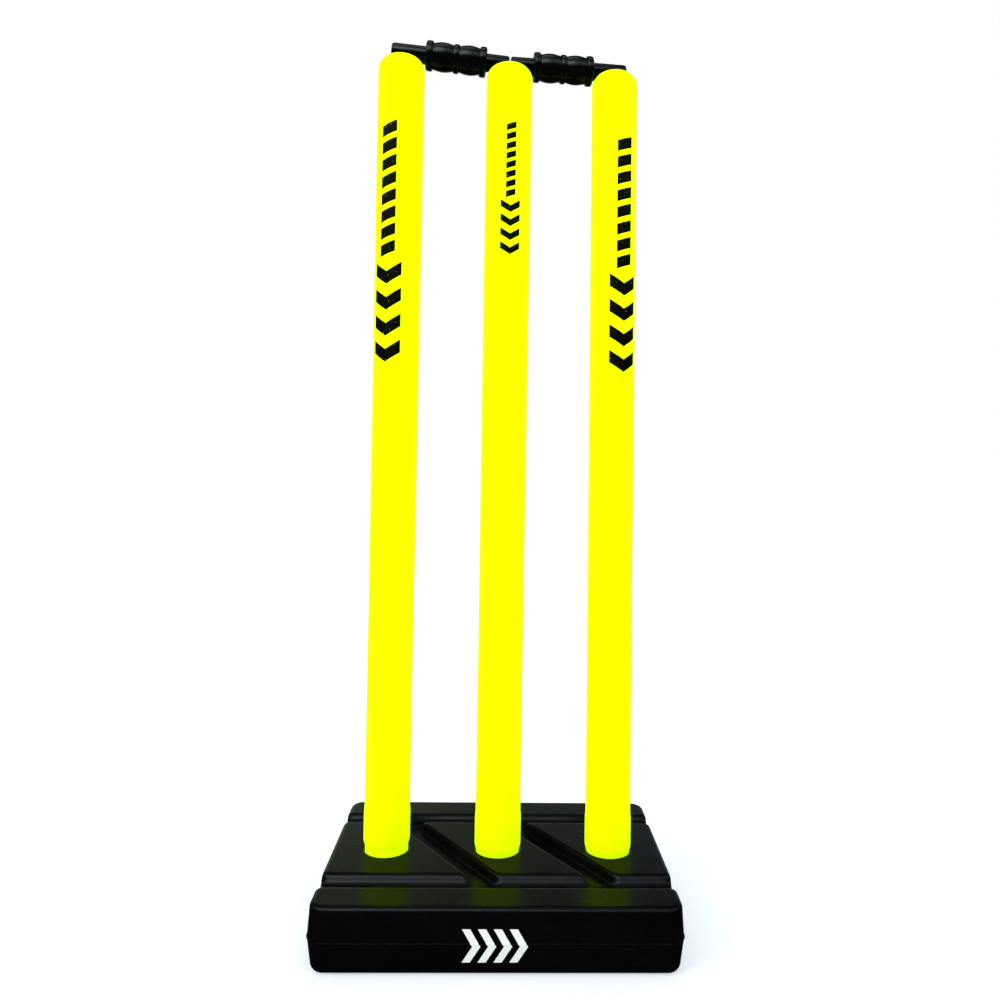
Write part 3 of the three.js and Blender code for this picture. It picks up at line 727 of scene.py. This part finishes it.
def stump_body(perch):
    """A hollow stump with its foot at height 0 and its bail groove higher by a perch."""
    half = COLLAR_SHOULDER / 2
    head = COLLAR_FOOT + COLLAR_LENGTH
    groove_height = STUMP_LENGTH + BAIL_RISE + perch
    groove_radius = BAIL_SPIGOT + BAIL_GROOVE_CLEARANCE
    outside = [
        (0, 0), *arc(SPIGOT_RADIUS - SPIGOT_EDGE, SPIGOT_EDGE, SPIGOT_EDGE, -QUARTER, 0, steps=6),
        *shoulder(SPIGOT_RADIUS, COLLAR_FOOT - half, COLLAR_RADIUS, COLLAR_FOOT + half),
        *shoulder(COLLAR_RADIUS, head - half, STUMP_FOOT_RADIUS, head + half),
        *dome(STUMP_TOP_RADIUS, STUMP_EDGE, STUMP_CROWN, STUMP_LENGTH),
    ]
    wall = STUMP_WALL
    inside = [
        (0, wall), (SPIGOT_RADIUS - wall, wall), (SPIGOT_RADIUS - wall, COLLAR_FOOT),
        (STUMP_FOOT_RADIUS - wall, head),
        *dome(STUMP_TOP_RADIUS - wall, STUMP_EDGE - wall, STUMP_CROWN - wall, STUMP_LENGTH - wall),
    ]
    body = as_object(turned(outside, BROAD_STEPS), "body")
    hollow = as_object(turned(inside, HIDDEN_STEPS), "hollow")
    combined(hollow, groove_bar(groove_radius + wall, groove_height))
    combined(body, mesh_taken_from(hollow))
    combined(body, groove_bar(groove_radius, groove_height))
    combined(body, drum(BLOW_HOLE_RADIUS, -CUTTER_REACH, wall + CUTTER_REACH, HOLE_STEPS))
    return smoothed(body)


def stump_axis(side):
    """The way that a stump points."""
    return Vector((*LEANS[side], STUMP_LENGTH)).normalized()


def spigot_middle(side):
    """The point in the socket about which a stump leans, in metres."""
    return Vector((SIDES[side] * STUMP_SPACING, 0, BASE_HEIGHT - INSERTION / 2 + RAISES[side])) * MM


def groove_centre(side):
    """Where a stump's bail groove crosses its axis, in metres."""
    height = STUMP_LENGTH + BAIL_RISE + BAIL_PERCHES[side] - INSERTION / 2
    return spigot_middle(side) + stump_axis(side) * height * MM


def upright_to(direction):
    """The turn that takes +Z to a direction."""
    return Vector((0, 0, 1)).rotation_difference(direction).to_matrix().to_4x4()


def standing(side, start, end):
    """The place of a stump whose groove runs along the line between two stumps' grooves."""
    line = groove_centre(end) - groove_centre(start)
    turn = Matrix.Rotation(math.atan2(line.y, line.x), 4, "Z")
    foot = spigot_middle(side) - stump_axis(side) * INSERTION / 2 * MM
    return Matrix.Translation(foot) @ upright_to(stump_axis(side)) @ turn


def make_stumps():
    """The three stumps, each leaning in its socket, with a print on its front, smaller on the middle one."""
    for side, place in SIDES.items():
        stand = standing(side, *GROOVE_LINES[side])
        piece = stump_body(BAIL_PERCHES[side])
        piece.name = f"stump_{side}_moulding"
        piece.data.transform(stand)
        bars, chevrons = OUTER_PRINT if place else MIDDLE_PRINT
        material = fluorescent_yellow_polyethylene_painted_glow(side, stand, PRINT_TURNS[side], bars, chevrons)
        finished(piece, f"{side}_stump", "yellow_moulding", material, f"stump_{side}")


# Bails

def bead(start, width, radius):
    """A bead's round-edged outline."""
    flat = radius - BAIL_EDGE
    low = arc(flat, start + BAIL_EDGE, BAIL_EDGE, -QUARTER, 0, steps=6)
    return low + arc(flat, start + width - BAIL_EDGE, BAIL_EDGE, 0, QUARTER, steps=6)


def swell(start, length, steps=14):
    """A swell's outline between two beads, lowest at both ends."""
    bulge = BAIL_SWELL - BAIL_WAIST
    shares = [i / steps for i in range(steps + 1)]
    return [(BAIL_WAIST + bulge * math.sin(s * math.pi), start + s * length) for s in shares]


def bail_body():
    """A bail along Z with the end of its short spigot at height 0."""
    swell_length = (BAIL_BARREL - 2 * BAIL_BEAD_WIDTH - BAIL_MIDDLE_WIDTH) / 2
    first = BAIL_SHORT + BAIL_BEAD_WIDTH
    middle = first + swell_length
    second = middle + BAIL_MIDDLE_WIDTH
    last = second + swell_length
    length = BAIL_SHORT + BAIL_BARREL + BAIL_LONG
    profile = [
        (0, 0), *arc(BAIL_TIP - BAIL_EDGE, BAIL_EDGE, BAIL_EDGE, -QUARTER, 0, steps=4),
        (BAIL_SPIGOT, BAIL_SHORT), *bead(BAIL_SHORT, BAIL_BEAD_WIDTH, BAIL_BEAD),
        *swell(first, swell_length), *bead(middle, BAIL_MIDDLE_WIDTH, BAIL_MIDDLE_BEAD),
        *swell(second, swell_length), *bead(last, BAIL_BEAD_WIDTH, BAIL_BEAD),
        (BAIL_SPIGOT, last + BAIL_BEAD_WIDTH),
        *arc(BAIL_TIP - BAIL_EDGE, length - BAIL_EDGE, BAIL_EDGE, 0, QUARTER, steps=4), (0, length),
    ]
    return turned(profile, SLIM_STEPS)


def make_bails(material):
    """The two bails, each from the middle stump's groove out to that of an outer stump."""
    inner = groove_centre("middle")
    for side in ("left", "right"):
        along = (groove_centre(side) - inner).normalized()
        start = inner + along * BAIL_END_GAP / 2 * MM
        body = placed(bail_body(), Matrix.Translation(start) @ upright_to(along))
        piece = as_object(body, f"bail_{side}_moulding")
        finished(smoothed(piece), f"{side}_bail", "black_bail", material, f"bail_{side}")


def dress(node, material):
    """Gives a carried-over solid its material."""
    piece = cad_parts[node]
    piece.data.materials.clear()
    piece.data.materials.append(material)


make_base(black_blow_moulded_polyethylene())
make_filler_plug(black_moulded_polypropylene("black_moulded_plug", 0.4))
make_stumps()
make_bails(black_moulded_polypropylene("black_moulded_polypropylene", 0.16))
dress("sand_ballast", dry_play_sand())
dress("filler_seal", black_sealing_rubber())


# Camera, fitted to the photograph's frame of 1000 by 1000 pixels

FRAME_PIXELS = 1000
FOCAL_PIXELS = 825.6
PRINCIPAL_PIXEL = (519.65, 451.9)
SENSOR_MM = 36
CAMERA_PLACE = (-3.4, -719.3, 377.4)
CAMERA_TURN = (1.38, 1.2, 0.89)


def make_camera():
    """A camera that looks along +Y, turned to the right, tipped up and rolled by the angles given."""
    yaw, pitch, roll = [math.radians(a) for a in CAMERA_TURN]
    ahead = Vector((math.sin(yaw) * math.cos(pitch), math.cos(yaw) * math.cos(pitch), math.sin(pitch)))
    level = Vector((math.cos(yaw), -math.sin(yaw), 0))
    upright = level.cross(ahead)
    right = math.cos(roll) * level + math.sin(roll) * upright
    up = math.cos(roll) * upright - math.sin(roll) * level
    data = bpy.data.cameras.new("camera")
    data.sensor_width = SENSOR_MM
    data.lens = FOCAL_PIXELS / FRAME_PIXELS * SENSOR_MM
    data.shift_x = (FRAME_PIXELS / 2 - PRINCIPAL_PIXEL[0]) / FRAME_PIXELS
    data.shift_y = (PRINCIPAL_PIXEL[1] - FRAME_PIXELS / 2) / FRAME_PIXELS
    data.clip_start = 0.01
    camera = bpy.data.objects.new("camera", data)
    bpy.context.scene.collection.objects.link(camera)
    turn = Matrix((right, up, -ahead)).transposed().to_4x4()
    camera.matrix_world = Matrix.Translation(Vector(CAMERA_PLACE) * MM) @ turn
    bpy.context.scene.camera = camera


# Floor, world and lamps, in metres and watts

FLOOR_REACH = 6
LAMP_AIM = (0, 0, 0.35)
LAMP_SIZE = 1.2


def make_floor():
    """A pale floor that stays white to the camera and still takes the object's shadow. A gloss sees it as a
    dark mat, since the black moulding in the photograph shows no white at its foot."""
    bm = bmesh.new()
    bmesh.ops.create_grid(bm, x_segments=1, y_segments=1, size=FLOOR_REACH)
    floor = as_object(bm, "floor")
    material, tree = new_material("white_sweep_floor")
    rays = add(tree, "LightPath")

    # Its own glow is full from a metre away, and half of that near the object, so that the shadow shows
    place = add(tree, "TexCoord")["Object"]
    away = add(tree, "VectorMath", {0: place}, operation="LENGTH")["Value"]
    pale = add(tree, "BsdfDiffuse", {"Color": linear("e4e5e6")})[0]
    lift = add(tree, "MapRange", {0: away, 1: 0.35, 2: 1, 3: 0.48, 4: 1})[0]
    glow = add(tree, "Emission", {"Color": linear("f0f9ff"), "Strength": lift})[0]
    lit = add(tree, "AddShader", {0: pale, 1: glow})[0]
    dark = add(tree, "BsdfDiffuse", {"Color": linear("36383c")})[0]
    mirrored = add(tree, "MixShader", {0: rays["Is Glossy Ray"], 1: pale, 2: dark})[0]
    seen = add(tree, "MixShader", {0: rays["Is Camera Ray"], 1: mirrored, 2: lit})[0]
    add(tree, "OutputMaterial", {"Surface": seen})
    floor.data.materials.append(material)


def make_world():
    """White to the camera. A gloss sees a white sweep low behind the object, a dim wall over it, a lit room
    high behind the camera, more light from the left and a bright ceiling. The room behind is far brighter than
    a real one, to make up for the low specular levels. The object stands in even, slightly cool light."""
    world = bpy.data.worlds.new("studio")
    bpy.context.scene.world = world
    world.use_nodes = True
    tree = world.node_tree
    tree.nodes.clear()
    rays = add(tree, "LightPath")
    towards = add(tree, "TexCoord")["Generated"]
    x, y, z = add(tree, "SeparateXYZ", {0: towards})

    # Ahead of the camera: the sweep, brightest straight ahead, fades from 9 degrees up to 16, and the wall over
    # it from 21 to 40. A window makes both brighter on the left.
    smooth = {"interpolation_type": "SMOOTHSTEP"}
    sweep = add(tree, "MapRange", {0: z, 1: 0.16, 2: 0.27, 3: 1.15, 4: 0}, **smooth)[0]
    facing = add(tree, "MapRange", {0: y, 1: 0.4, 2: 0.85, 3: 0, 4: 1})[0]
    wall = add(tree, "MapRange", {0: z, 1: 0.36, 2: 0.64, 3: 0.65, 4: 0.1}, **smooth)[0]
    ahead = add(tree, "Math", {0: sweep, 1: facing, 2: wall}, operation="MULTIPLY_ADD")[0]
    window = add(tree, "MapRange", {0: x, 1: -0.2, 2: 0, 3: 1.45, 4: 0.8})[0]
    ahead = add(tree, "Math", {0: ahead, 1: window}, operation="MULTIPLY")[0]

    # Behind the camera: dark up to 16 degrees, brightest from 33 to 44, dark again from 62. A softbox makes the
    # left side the brighter one.
    room = add(tree, "MapRange", {0: z, 1: 0.28, 2: 0.54, 3: 0.1, 4: 17}, **smooth)[0]
    roof = add(tree, "MapRange", {0: z, 1: 0.7, 2: 0.88, 3: 1, 4: 0.1}, **smooth)[0]
    behind = add(tree, "Math", {0: room, 1: roof}, operation="MULTIPLY")[0]
    softbox = add(tree, "MapRange", {0: x, 1: -0.2, 2: 0.2, 3: 1.6, 4: 0.4})[0]
    behind = add(tree, "Math", {0: behind, 1: softbox}, operation="MULTIPLY")[0]

    # The two meet at the sides, under a ceiling from 72 degrees up. The floor corners of the slanting grooves
    # mirror a dark flag at the far left.
    turn = add(tree, "MapRange", {0: y, 1: -0.25, 2: 0.25, 3: 0, 4: 1})[0]
    level = add(tree, "Mix", {0: turn, 2: behind, 3: ahead})[0]
    ceiling = add(tree, "MapRange", {0: z, 1: 0.95, 2: 1, 3: 0, 4: 2.8})[0]
    level = add(tree, "Math", {0: level, 1: ceiling}, operation="ADD")[0]
    flag = add(tree, "MapRange", {0: x, 1: -0.6, 2: -0.35, 3: 0.4, 4: 1})[0]
    level = add(tree, "Math", {0: level, 1: flag}, operation="MULTIPLY")[0]

    # Ahead, the light is greenish on the left and bluish on the right
    side = add(tree, "MapRange", {0: x, 1: 0.05, 2: 0.17, 3: 0, 4: 1})[0]
    tint = add(tree, "Mix", {0: side, 6: linear("ebffdc"), 7: linear("dcebff")}, data_type="RGBA")[2]
    tint = add(tree, "Mix", {0: turn, 6: linear("ecfbfb"), 7: tint}, data_type="RGBA")[2]

    even = add(tree, "Background", {"Color": linear("f3f7ff"), "Strength": 0.78})[0]
    gloss = add(tree, "Background", {"Color": tint, "Strength": level})[0]
    white = add(tree, "Background", {"Color": linear("ffffff"), "Strength": 1})[0]
    through = rays["Is Transmission Ray"]
    glossy = add(tree, "Math", {0: rays["Is Glossy Ray"], 1: through}, operation="MAXIMUM")[0]
    shown = add(tree, "MixShader", {0: glossy, 1: even, 2: gloss})[0]
    seen = add(tree, "MixShader", {0: rays["Is Camera Ray"], 1: shown, 2: white})[0]
    add(tree, "OutputWorld", {"Surface": seen})


def make_lamp(name, place, power):
    """A square soft lamp that faces the middle of the stumps. No gloss shows its shape."""
    data = bpy.data.lights.new(name, "AREA")
    data.shape = "SQUARE"
    data.size = LAMP_SIZE
    data.energy = power
    lamp = bpy.data.objects.new(name, data)
    lamp.location = place
    lamp.rotation_euler = (Vector(LAMP_AIM) - Vector(place)).to_track_quat("-Z", "Y").to_euler()
    lamp.visible_glossy = False
    bpy.context.scene.collection.objects.link(lamp)


make_camera()
make_floor()
make_world()
make_lamp("left_softbox", place=(-1.9, -1.3, 1.5), power=24)
make_lamp("right_softbox", place=(1.6, -1.9, 1.2), power=10)
bpy.context.scene.view_settings.view_transform = "Standard"
